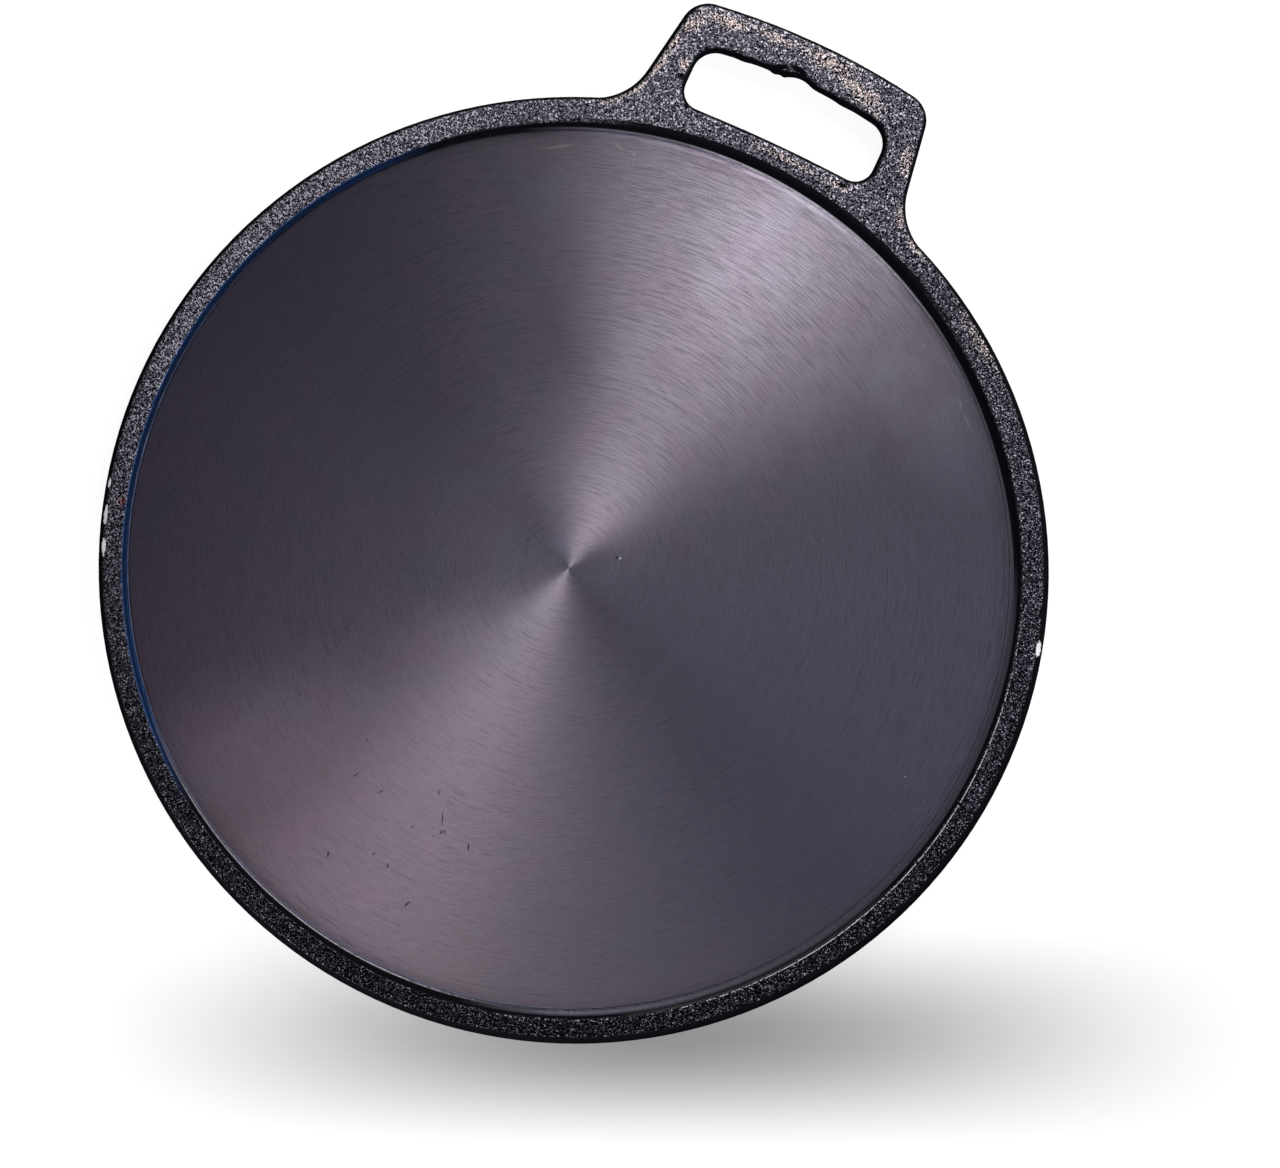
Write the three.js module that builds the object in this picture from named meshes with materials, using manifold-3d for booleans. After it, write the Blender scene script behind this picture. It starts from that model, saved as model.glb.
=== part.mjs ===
// A dosa tawa: a flat cast-iron griddle with a low rim and a loop handle, poured in one piece.
// Millimetres, +Z up. The origin is the centre of the flat underside, and the handle points along +Y.

import * as THREE from 'three';
import { mergeVertices } from 'three/addons/utils/BufferGeometryUtils.js';
import Module from 'manifold-3d';

const wasm = await Module();
wasm.setup();

// Pan. Plan sizes are taken at the parting line, where the two halves of the sand mould meet.
const panDiameter = 300;
const panHeight = 9;
const partingHeight = 4.4;
const wallDraftDegrees = 5;
const rimEdgeRadius = 1.6;
const baseEdgeRadius = 3;

// Recess inside the rim, as it is cast. The sand core that forms it sits a little off centre.
const rimWidth = 7.8;
const recessDraftDegrees = 12;
const recessEdgeRadius = 0.9;
const recessFillet = 2.4;
const coreShiftX = -0.6;
const coreShiftY = -0.8;

// Cooking face, turned flat on a lathe after casting. The chuck grips the rough rim, so it is off centre too.
const plateThickness = 4.8;
const turningAllowance = 0.3;
const turnedMargin = 2.8;
const turningShiftX = -1.7;
const turningShiftY = -0.6;

// Finger hole through the loop handle
const holeWidth = 65;
const fingerGap = 20.8;
const bridgeSetback = 0.4;
const bridgeRadius = 500;
const innerCornerRadius = 6;
const outerCornerRadius = 7.5;

// Shallow notch in the middle of the loop's bar, where the tawa hangs on a hook
const notchDepth = 1.2;
const notchRadius = 8;
const notchBlendRadius = 9;

// Iron round the hole: two legs that lean in, and a bar whose outer edge is a flat crown. The loop is level
// with the rim's top and lifted clear of the stove.
const legFootWidth = 13.5;
const legEndWidth = 8;
const barWidth = 14.1;
const loopCornerRadius = 9;
const loopCrownRadius = 235;
const handleLift = 1.2;
const underEdgeRadius = 2.2;
const flareRadius = 20;
const flareBury = 0.15;
const rootDepth = 12;

// Finish of the solids: how far a facet may cut inside its curve, and how far a cutter overruns the iron
const facetSag = 0.03;
const cutOverrun = 2;

const panRadius = panDiameter / 2;
const recessRadius = panRadius - rimWidth;
const holeHalfWidth = holeWidth / 2;
const bridgeEdge = panRadius - bridgeSetback;
const barInnerEdge = bridgeEdge + fingerGap;
const barOuterEdge = barInnerEdge + barWidth;
const wallDraft = THREE.MathUtils.degToRad(wallDraftDegrees);
const recessDraft = THREE.MathUtils.degToRad(recessDraftDegrees);
const quarterTurn = Math.PI / 2;

// Number of facets that keeps an arc within facetSag of its true curve
function arcSteps(radius, sweep) {
  const step = 2 * Math.acos(1 - Math.min(1, facetSag / radius));
  return Math.max(1, Math.ceil(Math.abs(sweep) / step));
}

// Points of an arc from one angle to another. Its facets are counted on countRadius, so that every level
// of a drafted wall has the same number of points.
function arcPoints(centre, radius, from, to, countRadius = radius) {
  const steps = arcSteps(countRadius, to - from);
  return Array.from({ length: steps + 1 }, (_, i) => {
    const angle = from + (to - from) * (i / steps);
    return new THREE.Vector2(centre.x + radius * Math.cos(angle), centre.y + radius * Math.sin(angle));
  });
}

// A plan outline, symmetric about Y, from the arcs of its right half. Straight stretches join the arcs.
// A round arc gets larger as the outline grows, and a hollow one gets smaller.
function planOutline(arcs, grow, start = []) {
  const right = [...start];
  for (const { centre, radius, from, to, hollow } of arcs) {
    right.push(...arcPoints(centre, hollow ? radius - grow : radius + grow, from, to, radius));
  }
  const left = right.map((point) => new THREE.Vector2(-point.x, point.y)).reverse();
  const loop = [...right, ...left];
  return loop.filter((point, i) => point.distanceTo(loop[(i + 1) % loop.length]) > facetSag);
}

// Levels of a wall that is drafted both ways from the parting line, with its edge rounded at one face
function edgeLevels(faceHeight, edgeRadius) {
  const side = Math.sign(faceHeight - partingHeight);
  const reach = Math.abs(faceHeight - partingHeight);
  const radius = Math.min(edgeRadius, reach);
  const straight = reach - radius * (1 - Math.sin(wallDraft));
  return arcPoints({ x: 0, y: reach - radius }, radius, wallDraft, quarterTurn).map((point) => ({
    z: partingHeight + side * point.y,
    inset: straight * Math.tan(wallDraft) + radius * Math.cos(wallDraft) - point.x,
  }));
}

function wallLevels(bottom, bottomRadius, top, topRadius) {
  const lower = edgeLevels(bottom, bottomRadius).reverse();
  return [...lower, { z: partingHeight, inset: 0 }, ...edgeLevels(top, topRadius)];
}

function solidFrom(positions, triangles) {
  const geometry = new THREE.BufferGeometry();
  geometry.setAttribute('position', new THREE.Float32BufferAttribute(positions, 3));
  geometry.setIndex(triangles);
  return solidOf(geometry);
}

// A closed three.js mesh as a solid that can be joined and cut
function solidOf(geometry) {
  geometry.deleteAttribute('normal');
  geometry.deleteAttribute('uv');
  const merged = mergeVertices(geometry);
  const index = merged.index.array;
  const triVerts = [];
  for (let i = 0; i < index.length; i += 3) {
    const [a, b, c] = index.slice(i, i + 3);
    if (a !== b && b !== c && c !== a) triVerts.push(a, b, c);
  }
  return new wasm.Manifold(new wasm.Mesh({
    numProp: 3,
    vertProperties: new Float32Array(merged.attributes.position.array),
    triVerts: new Uint32Array(triVerts),
  }));
}

// A solid turned about Z from a section that starts and ends on the axis, with its centre at x, y
function turnedSolid(section, x, y) {
  const outermost = Math.max(...section.map((point) => point.x));
  const lathe = new THREE.LatheGeometry(section, arcSteps(outermost, 2 * Math.PI));
  lathe.rotateX(quarterTurn);
  lathe.translate(x, y, 0);
  return solidOf(lathe);
}

// A solid whose plan outline changes from level to level, closed by a flat face below and above
function draftedSolid(levels) {
  const positions = levels.flatMap(({ outline, z }) => outline.flatMap((point) => [point.x, point.y, z]));
  const count = levels[0].outline.length;
  const triangles = [];
  for (let level = 0; level + 1 < levels.length; level += 1) {
    for (let i = 0; i < count; i += 1) {
      const next = (i + 1) % count;
      const [a, b] = [level * count + i, level * count + next];
      triangles.push(a, b, b + count, a, b + count, a + count);
    }
  }
  const last = (levels.length - 1) * count;
  for (const [a, b, c] of THREE.ShapeUtils.triangulateShape(levels[0].outline, [])) triangles.push(a, c, b);
  for (const [a, b, c] of THREE.ShapeUtils.triangulateShape(levels.at(-1).outline, [])) {
    triangles.push(last + a, last + b, last + c);
  }
  return solidFrom(positions, triangles);
}

// The pan before its recess: a disc with drafted sides and rounded edges
function panBlank() {
  const wall = wallLevels(0, baseEdgeRadius, panHeight, rimEdgeRadius);
  const section = wall.map(({ z, inset }) => new THREE.Vector2(panRadius - inset, z));
  return turnedSolid([new THREE.Vector2(0, 0), ...section, new THREE.Vector2(0, panHeight)], 0, 0);
}

// Right half of the loop's outer edge: a hollow flare off the rim, a leg that leans in, a corner and a crown
function loopArcs() {
  const foot = new THREE.Vector2(holeHalfWidth + legFootWidth, panRadius);
  const end = new THREE.Vector2(holeHalfWidth + legEndWidth, barOuterEdge);
  const along = end.clone().sub(foot).normalize();
  const outward = new THREE.Vector2(along.y, -along.x);
  const legOffset = foot.dot(outward);

  const flareOffset = legOffset + flareRadius;
  const flareDistance = panRadius - flareBury + flareRadius;
  const flareCentre = outward.clone().multiplyScalar(flareOffset)
    .addScaledVector(along, Math.sqrt(flareDistance ** 2 - flareOffset ** 2));

  const crownCentre = new THREE.Vector2(0, barOuterEdge - loopCrownRadius);
  const cornerOffset = legOffset - loopCornerRadius - crownCentre.dot(outward);
  const cornerDistance = loopCrownRadius - loopCornerRadius;
  const cornerCentre = crownCentre.clone().addScaledVector(outward, cornerOffset)
    .addScaledVector(along, Math.sqrt(cornerDistance ** 2 - cornerOffset ** 2));
  const crownStart = cornerCentre.clone().sub(crownCentre).angle();

  return [
    {
      centre: flareCentre, radius: flareRadius, hollow: true,
      from: flareCentre.angle() + Math.PI, to: outward.angle() + Math.PI,
    },
    { centre: cornerCentre, radius: loopCornerRadius, from: outward.angle(), to: crownStart },
    { centre: crownCentre, radius: loopCrownRadius, from: crownStart, to: quarterTurn },
  ];
}

// The loop before its finger hole, with a root that reaches into the pan
function loopBlank() {
  const arcs = loopArcs();
  const root = arcs[0].centre.clone().setLength(panRadius - rootDepth);
  return draftedSolid(wallLevels(handleLift, underEdgeRadius, panHeight, rimEdgeRadius)
    .map(({ z, inset }) => ({ z, outline: planOutline(arcs, -inset, [root]) })));
}

// Right half of the finger hole: the pan's side, an end, and the bar's side with half of the hanging notch
function holeArcs() {
  const bridgeCentre = new THREE.Vector2(0, bridgeEdge - bridgeRadius);
  const innerX = holeHalfWidth - innerCornerRadius;
  const innerRise = Math.sqrt((bridgeRadius + innerCornerRadius) ** 2 - innerX ** 2);
  const innerCentre = new THREE.Vector2(innerX, bridgeCentre.y + innerRise);
  const bridgeEnd = innerCentre.clone().sub(bridgeCentre).angle();

  const outerX = holeHalfWidth - outerCornerRadius;
  const outerRise = Math.sqrt((barInnerEdge - outerCornerRadius) ** 2 - outerX ** 2);
  const outerCentre = new THREE.Vector2(outerX, outerRise);

  const notchCentre = new THREE.Vector2(0, barInnerEdge + notchDepth - notchRadius);
  const blendDistance = barInnerEdge + notchBlendRadius;
  const blendSpan = notchRadius + notchBlendRadius;
  const blendTurn = Math.acos(
    (notchCentre.y ** 2 + blendDistance ** 2 - blendSpan ** 2) / (2 * notchCentre.y * blendDistance));
  const barEnd = quarterTurn - blendTurn;
  const blendCentre = new THREE.Vector2(Math.cos(barEnd), Math.sin(barEnd)).multiplyScalar(blendDistance);
  const notchStart = blendCentre.clone().sub(notchCentre).angle();

  return [
    { centre: bridgeCentre, radius: bridgeRadius, from: quarterTurn, to: bridgeEnd, hollow: true },
    { centre: innerCentre, radius: innerCornerRadius, from: bridgeEnd - Math.PI, to: 0 },
    { centre: outerCentre, radius: outerCornerRadius, from: 0, to: outerCentre.angle() },
    { centre: new THREE.Vector2(0, 0), radius: barInnerEdge, from: outerCentre.angle(), to: barEnd },
    {
      centre: blendCentre, radius: notchBlendRadius, hollow: true,
      from: barEnd + Math.PI, to: notchStart + Math.PI,
    },
    { centre: notchCentre, radius: notchRadius, from: notchStart, to: quarterTurn },
  ];
}

// What the finger hole takes out: narrowest at the parting line, and rounded open at both faces
function fingerHole() {
  const arcs = holeArcs();
  const wall = wallLevels(handleLift, underEdgeRadius, panHeight, rimEdgeRadius);
  const below = { z: -cutOverrun, inset: wall[0].inset };
  const above = { z: panHeight + cutOverrun, inset: wall.at(-1).inset };
  return draftedSolid([below, ...wall, above]
    .map(({ z, inset }) => ({ z, outline: planOutline(arcs, inset) })));
}

// What the core leaves open: a floor, a fillet, a drafted wall and a rounded upper edge
function recess() {
  const floor = plateThickness + turningAllowance;
  const fillet = Math.min(recessFillet, panHeight - floor - recessEdgeRadius);
  const edgeCentre = { x: recessRadius, y: panHeight - recessEdgeRadius };
  const edge = arcPoints(edgeCentre, recessEdgeRadius, Math.PI - recessDraft, quarterTurn);
  const filletTop = floor + fillet * (1 - Math.sin(recessDraft));
  const filletCentre = {
    x: edge[0].x - (edge[0].y - filletTop) * Math.tan(recessDraft) - fillet * Math.cos(recessDraft),
    y: floor + fillet,
  };
  return turnedSolid([
    new THREE.Vector2(0, floor),
    ...arcPoints(filletCentre, fillet, -quarterTurn, -recessDraft),
    ...edge,
    new THREE.Vector2(recessRadius, panHeight + cutOverrun),
    new THREE.Vector2(0, panHeight + cutOverrun),
  ], coreShiftX, coreShiftY);
}

// What the lathe takes off: the last of the floor and a little of the fillet
function turnedFace() {
  const turnedRadius = recessRadius - turnedMargin;
  return turnedSolid([
    new THREE.Vector2(0, plateThickness),
    new THREE.Vector2(turnedRadius, plateThickness),
    new THREE.Vector2(turnedRadius, panHeight + cutOverrun),
    new THREE.Vector2(0, panHeight + cutOverrun),
  ], turningShiftX, turningShiftY);
}

const casting = panBlank().add(loopBlank()).subtract(fingerHole()).subtract(recess()).subtract(turnedFace());
const { vertProperties, triVerts } = casting.getMesh();
const castingGeometry = new THREE.BufferGeometry();
castingGeometry.setAttribute('position', new THREE.BufferAttribute(vertProperties, 3));
castingGeometry.setIndex(new THREE.BufferAttribute(triVerts, 1));
castingGeometry.computeVertexNormals();

const seasonedIron = new THREE.MeshStandardMaterial({ color: 0x4d4b54, roughness: 0.5, metalness: 0.6 });
const tawaCasting = new THREE.Mesh(castingGeometry, seasonedIron);
tawaCasting.name = 'tawa_casting';

const tawa = new THREE.Group();
tawa.add(tawaCasting);

export default tawa;
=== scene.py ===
"""A cast-iron dosa tawa, lying on a white table with its loop handle to the upper right."""

import math

import bmesh
import bpy
import numpy as np
from mathutils import Matrix, Vector


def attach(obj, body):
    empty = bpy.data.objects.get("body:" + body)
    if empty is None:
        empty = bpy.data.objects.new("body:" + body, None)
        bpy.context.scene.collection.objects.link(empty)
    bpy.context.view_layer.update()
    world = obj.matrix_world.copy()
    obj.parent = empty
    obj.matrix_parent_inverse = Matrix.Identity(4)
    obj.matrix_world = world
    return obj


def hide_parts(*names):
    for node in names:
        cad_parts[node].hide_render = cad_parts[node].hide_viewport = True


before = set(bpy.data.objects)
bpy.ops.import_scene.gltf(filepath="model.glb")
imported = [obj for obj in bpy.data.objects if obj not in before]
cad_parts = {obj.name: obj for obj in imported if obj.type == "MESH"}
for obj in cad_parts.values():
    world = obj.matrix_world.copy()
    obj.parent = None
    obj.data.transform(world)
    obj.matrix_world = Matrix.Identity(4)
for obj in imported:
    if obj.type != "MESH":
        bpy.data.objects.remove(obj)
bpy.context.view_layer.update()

# The casting as it leaves the sand. It is grey iron, poured into a mould of two halves that meet at the
# parting line. The pan, the rim and the loop come out as one piece with the sand's grain on every face.
MM = 0.001
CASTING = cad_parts["tawa_casting"]
PARTING_HEIGHT = 4.4 * MM
PLATE_HEIGHT = 4.8 * MM
ABOVE_THE_RIM = 20 * MM
BELOW_THE_PLATE = -10 * MM
CORE_CENTRE = Vector((-0.6 * MM, -0.8 * MM, 0))
TURNED_CENTRE = Vector((-1.7 * MM, -0.6 * MM, 0))
TURNED_RADIUS = 139.4 * MM
HOLE_BAR_SIDE = 170.4 * MM
TOP_SKIN_GRID = 0.5 * MM
UNDERSIDE_GRID = 1.0 * MM
CUTTER_WIDTH = 0.5
PLUG_SIDES = 720
# The tawa lies turned by this angle. Places that are read off the picture are given as it shows them.
PHOTO_TURN = math.radians(24.88)


def show(name, mesh):
    piece = bpy.data.objects.new(name, mesh)
    bpy.context.scene.collection.objects.link(piece)
    return piece


def settle(piece):
    """Turns a piece's modifiers into plain mesh."""
    evaluated = piece.evaluated_get(bpy.context.evaluated_depsgraph_get())
    piece.data = bpy.data.meshes.new_from_object(evaluated)
    piece.modifiers.clear()
    piece.data.polygons.foreach_set("use_smooth", [True] * len(piece.data.polygons))


def cut(piece, cutter, operation):
    modifier = piece.modifiers.new("cut", "BOOLEAN")
    modifier.object, modifier.operation, modifier.solver = cutter, operation, "MANIFOLD"
    settle(piece)


def block(low, high):
    """A square cutter between two heights, wider than the tawa is long."""
    made = bmesh.new()
    size = Matrix.Diagonal((CUTTER_WIDTH, CUTTER_WIDTH, high - low, 1))
    bmesh.ops.create_cube(made, size=1, matrix=Matrix.Translation((0, 0, (low + high) / 2)) @ size)
    mesh = bpy.data.meshes.new("cutter")
    made.to_mesh(mesh)
    return show("cutter", mesh)


def plug(radius, centre, low, high):
    """A round cutter between two heights."""
    made = bmesh.new()
    place = Matrix.Translation(centre + Vector((0, 0, (low + high) / 2)))
    bmesh.ops.create_cone(made, cap_ends=True, segments=PLUG_SIDES, radius1=radius, radius2=radius,
                          depth=high - low, matrix=place)
    mesh = bpy.data.meshes.new("cutter")
    made.to_mesh(mesh)
    return show("cutter", mesh)


def even_copy(name, grid):
    """A copy of the casting with a fine, even mesh."""
    piece = show(name, CASTING.data.copy())
    remesh = piece.modifiers.new("grid", "REMESH")
    remesh.mode, remesh.voxel_size = "VOXEL", grid
    settle(piece)
    return piece


top_skin = even_copy("rim_and_loop", TOP_SKIN_GRID)
above = block(PARTING_HEIGHT, ABOVE_THE_RIM)
cut(top_skin, above, "INTERSECT")
turned_plug = plug(TURNED_RADIUS, TURNED_CENTRE, 0, ABOVE_THE_RIM)
cut(top_skin, turned_plug, "DIFFERENCE")

underside = even_copy("underside", UNDERSIDE_GRID)
below = block(BELOW_THE_PLATE, PARTING_HEIGHT)
cut(underside, below, "INTERSECT")

for cutter in (above, turned_plug, below):
    bpy.data.objects.remove(cutter)

# Dents in the upper face, in mm and degrees of the picture: x, y, length, width, slant and depth. Flash on
# the side of the hole's bar, in mm along the bar: x, length and reach.
DENTS = [(34.0, 156.1, 4.4, 1.7, -12, 0.8), (85.0, 121.3, 4.0, 1.5, -22, 0.5),
         (-148.2, 16.2, 7.0, 2.4, 84, 0.5), (-148.8, 6.4, 6.4, 2.4, 88, 0.5),
         (146.8, -25.4, 5.2, 2.8, 80, 0.5)]
DENTS_LOWEST = 6 * MM
FLASH = [(-8.6, 1.4, 0.55), (-5.4, 1.0, 0.45), (15.0, 2.6, 0.30), (-19.0, 2.2, 0.25)]
FLASH_BAND = 1.4 * MM
PARTING_SLACK = 0.01 * MM
PLUG_SLACK = 0.05 * MM
LEVEL_FROM, LEVEL_TO = 0.91, 0.96
SWELL_SIZE, SWELL_DEPTH = 9 * MM, 0.12 * MM
PEBBLE_SIZE, PEBBLE_DEPTH = 0.75 * MM, 0.16 * MM


def read_points(piece):
    points = np.empty(len(piece.data.vertices) * 3, np.float32)
    piece.data.vertices.foreach_get("co", points)
    return points.reshape(-1, 3)


def add_faults(piece):
    """Presses small dents into the upper face, and pulls the flash out at the parting line."""
    points = read_points(piece)
    cosine, sine = math.cos(PHOTO_TURN), math.sin(PHOTO_TURN)
    across = (points[:, 0] * cosine + points[:, 1] * sine) / MM
    up = (points[:, 1] * cosine - points[:, 0] * sine) / MM
    for x, y, length, width, slant, depth in DENTS:
        turn = math.radians(slant)
        along = ((across - x) * math.cos(turn) + (up - y) * math.sin(turn)) / (length / 2)
        aside = ((up - y) * math.cos(turn) - (across - x) * math.sin(turn)) / (width / 2)
        near = np.clip(1 - along ** 2 - aside ** 2, 0, 1) * (points[:, 2] > DENTS_LOWEST)
        points[:, 2] -= depth * MM * near
    for x, length, reach in FLASH:
        along = (points[:, 0] / MM - x) / length
        near = np.exp(-along ** 2 - ((points[:, 2] - PARTING_HEIGHT) / MM) ** 2)
        near *= np.abs(points[:, 1] - HOLE_BAR_SIDE) < FLASH_BAND
        points[:, 1] -= reach * MM * near
    piece.data.vertices.foreach_set("co", points.ravel())
    piece.data.update()


def mark_skin(piece):
    """Groups the points of the sand-cast skin, without the cut faces, and notes how level each one lies."""
    points = read_points(piece)
    from_centre = np.hypot(points[:, 0] - TURNED_CENTRE.x, points[:, 1] - TURNED_CENTRE.y)
    above_parting = points[:, 2] - PARTING_HEIGHT
    on_cut = np.abs(above_parting) < PARTING_SLACK
    on_cut |= (from_centre < TURNED_RADIUS + PLUG_SLACK) & (above_parting > 0)
    group = piece.vertex_groups.new(name="skin")
    group.add(np.flatnonzero(~on_cut).tolist(), 1.0, "REPLACE")
    normals = np.empty(len(points) * 3, np.float32)
    piece.data.vertices.foreach_get("normal", normals)
    level = np.clip((np.abs(normals[2::3]) - LEVEL_FROM) / (LEVEL_TO - LEVEL_FROM), 0, 1) * ~on_cut
    attribute = piece.data.attributes.new("level", "FLOAT", "POINT")
    attribute.data.foreach_set("value", level.astype(np.float32))
    return group.name


def roughen(piece, name, size, depth, group):
    """Sinks the skin by up to depth, in grains of one size."""
    texture = bpy.data.textures.new(name, "CLOUDS")
    texture.noise_basis, texture.noise_scale, texture.noise_depth = "ORIGINAL_PERLIN", size, 0
    sink = piece.modifiers.new(name, "DISPLACE")
    sink.texture, sink.texture_coords, sink.vertex_group = texture, "LOCAL", group
    sink.strength, sink.mid_level = depth, 1.0


for skin in (top_skin, underside):
    add_faults(skin)
    skin_group = mark_skin(skin)
    roughen(skin, "swells", SWELL_SIZE, SWELL_DEPTH, skin_group)
    roughen(skin, "pebbles", PEBBLE_SIZE, PEBBLE_DEPTH, skin_group)
    settle(skin)


def put(tree, kind, inputs=None, **settings):
    """Adds a shader node. Inputs are numbers, colours or other nodes' outputs."""
    made = tree.nodes.new("ShaderNode" + kind)
    for name, value in settings.items():
        setattr(made, name, value)
    for name, value in (inputs or {}).items():
        if isinstance(value, bpy.types.NodeSocket):
            tree.links.new(value, made.inputs[name])
        else:
            made.inputs[name].default_value = value
    return made


def wire(tree, kind, operation, *values):
    """A math node, or a vector math node, on numbers or other nodes' outputs."""
    made = tree.nodes.new("ShaderNode" + kind)
    made.operation = operation
    for socket, value in zip(made.inputs, values):
        if isinstance(value, bpy.types.NodeSocket):
            tree.links.new(value, socket)
        else:
            socket.default_value = value
    return made.outputs[1] if operation in ("LENGTH", "DOT_PRODUCT") else made.outputs[0]


def new_material(name):
    material = bpy.data.materials.new(name)
    material.use_nodes = True
    material.node_tree.nodes.clear()
    return material, material.node_tree


def colour(red, green, blue):
    return (red, green, blue, 1.0)


def product(tree, *masks):
    """Masks or numbers, multiplied."""
    total = masks[0]
    for mask in masks[1:]:
        total = wire(tree, "Math", "MULTIPLY", total, mask)
    return total


def largest(tree, *masks):
    total = masks[0]
    for mask in masks[1:]:
        total = wire(tree, "Math", "MAXIMUM", total, mask)
    return total


def multiplied(tree, *vectors):
    """Colours or vectors, multiplied part by part."""
    total = vectors[0]
    for vector in vectors[1:]:
        total = wire(tree, "VectorMath", "MULTIPLY", total, vector)
    return total


def scaled(tree, shade, gain):
    """A colour, made lighter or darker by a value that changes over the surface."""
    return put(tree, "VectorMath", {"Vector": shade, "Scale": gain}, operation="SCALE").outputs["Vector"]


def span(tree, value, low, high, to_low=0.0, to_high=1.0):
    """Carries a value from one range to another, and holds it at the ends."""
    ramp = put(tree, "MapRange", {"Value": value, "From Min": low, "From Max": high,
                                  "To Min": to_low, "To Max": to_high})
    return ramp.outputs["Result"]


def fade(tree, length, band):
    """A mask over a length: 0 at the band's first value and 1 at its second, in mm."""
    return span(tree, length, band[0] * MM, band[1] * MM)


def without(tree, mask):
    return span(tree, mask, 0.0, 1.0, 1.0, 0.0)


def on_side(tree, place, side, to_low=0.0, to_high=1.0):
    """A mask for one side. A side is its angle in the picture, and where it starts and is full, in mm."""
    angle, start, full = side
    heading = PHOTO_TURN + math.radians(angle)
    out = wire(tree, "VectorMath", "DOT_PRODUCT", place, (math.cos(heading), math.sin(heading), 0))
    return span(tree, out, start * MM, full * MM, to_low, to_high)


def distance_from(tree, place, centre):
    offset = wire(tree, "VectorMath", "SUBTRACT", place, centre)
    return wire(tree, "VectorMath", "LENGTH", multiplied(tree, offset, (1, 1, 0)))


def thin_ring(tree, radius, ring):
    """A mask for a line round a centre. A ring is its radius and the two half widths of its edge, in mm."""
    middle, ends, full = ring
    away = wire(tree, "Math", "ABSOLUTE", wire(tree, "Math", "SUBTRACT", radius, middle * MM))
    return fade(tree, away, (ends, full))


def blend(tree, share, first, second):
    mixed = put(tree, "Mix", {"Factor": share, "A": first, "B": second}, data_type="RGBA")
    return mixed.outputs["Result"]


def noise(tree, place, scale, detail=0.0, distortion=0.0):
    made = put(tree, "TexNoise", {"Vector": place, "Scale": scale, "Detail": detail,
                                  "Distortion": distortion})
    return made.outputs["Fac"]


RAGGED_GAIN, RAGGED_SHIFT = 0.9, -0.45


def ragged_by(tree, grains):
    """What the grains add to a mark's outline."""
    return wire(tree, "Math", "MULTIPLY_ADD", grains, RAGGED_GAIN, RAGGED_SHIFT)


def mark_group():
    """A small worn mark: 1 at its centre and 0 at its rim, with a ragged outline."""
    group = bpy.data.node_groups.new("worn_mark", "ShaderNodeTree")
    for name, kind in (("Place", "Vector"), ("Centre", "Vector"), ("Reach", "Vector"), ("Turn", "Float"),
                       ("Raggedness", "Float"), ("Softness", "Float")):
        group.interface.new_socket(name, in_out="INPUT", socket_type="NodeSocket" + kind)
    group.interface.new_socket("Mask", in_out="OUTPUT", socket_type="NodeSocketFloat")
    inside = group.nodes.new("NodeGroupInput").outputs
    offset = wire(group, "VectorMath", "SUBTRACT", inside["Place"], inside["Centre"])
    turned = put(group, "VectorRotate", {"Vector": offset, "Angle": inside["Turn"]},
                 rotation_type="Z_AXIS").outputs["Vector"]
    shape = wire(group, "VectorMath", "DIVIDE", turned, inside["Reach"])
    distance = wire(group, "Math", "ADD", wire(group, "VectorMath", "LENGTH", shape), inside["Raggedness"])
    solid = wire(group, "Math", "SUBTRACT", 1.0, inside["Softness"])
    outside = group.nodes.new("NodeGroupOutput")
    group.links.new(span(group, distance, 1.0, solid), outside.inputs["Mask"])
    return group


WORN_MARK = mark_group()
MARK_DEPTH = 3 * MM
MARK_SOFTNESS = 0.3


def marks(tree, place, ragged, places, softness=MARK_SOFTNESS):
    """The union of worn marks. Each is x, y, z, length, width and slant, in mm and degrees of the picture."""
    total = 0.0
    cosine, sine = math.cos(PHOTO_TURN), math.sin(PHOTO_TURN)
    for x, y, z, length, width, slant in places:
        group = tree.nodes.new("ShaderNodeGroup")
        group.node_tree = WORN_MARK
        tree.links.new(place, group.inputs["Place"])
        tree.links.new(ragged, group.inputs["Raggedness"])
        group.inputs["Centre"].default_value = ((x * cosine - y * sine) * MM,
                                                (x * sine + y * cosine) * MM, z * MM)
        group.inputs["Reach"].default_value = (length / 2 * MM, width / 2 * MM, MARK_DEPTH)
        group.inputs["Turn"].default_value = -PHOTO_TURN - math.radians(slant)
        group.inputs["Softness"].default_value = softness
        total = wire(tree, "Math", "MAXIMUM", total, group.outputs["Mask"])
    return total


# Heights and distances at which a kind of skin fades in, from none to full.
TOP_FACE = (7.8, 8.2)
BOTTOM_FACE = (1.9, 1.5)
ABOVE_PARTING = (4.4, 4.6)
LOW_WALL = (7.2, 6.4)
PAN_SIDE = (136, 130)
LOOP_SIDE = (118, 134)
RIM_CENTRE = Vector((-0.85 * MM, 0.08 * MM, 0))
# Painted shade: the walls' black on a band along the pan's outer edge, and at the recess's edge beside the
# loop.
PAINTED_SHADE_RIM_EDGE = (148.5, 148.8)
PAINTED_SHADE_LIP = (143.5, 143.1)
PAINTED_SHADE_LIP_SIDE = (60, 116, 132)


def level_faces(tree, place, axes, from_core):
    """1 on the level faces, which keep the sand's grain, and 0 on the walls and the roundings, and on two
    bands that take the walls' black as painted shade: along the pan's outer edge and at the recess's edge
    beside the loop.
    """
    level = put(tree, "Attribute", attribute_name="level").outputs["Fac"]
    painted_shade_rim = product(tree, fade(tree, axes["Y"], PAN_SIDE),
                       fade(tree, distance_from(tree, place, RIM_CENTRE), PAINTED_SHADE_RIM_EDGE))
    painted_shade_lip = product(tree, fade(tree, from_core, PAINTED_SHADE_LIP), on_side(tree, place, PAINTED_SHADE_LIP_SIDE))
    top = product(tree, level, fade(tree, axes["Z"], TOP_FACE), without(tree, painted_shade_rim), without(tree, painted_shade_lip))
    bottom = product(tree, level, fade(tree, axes["Z"], BOTTOM_FACE))
    return largest(tree, top, bottom)


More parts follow.
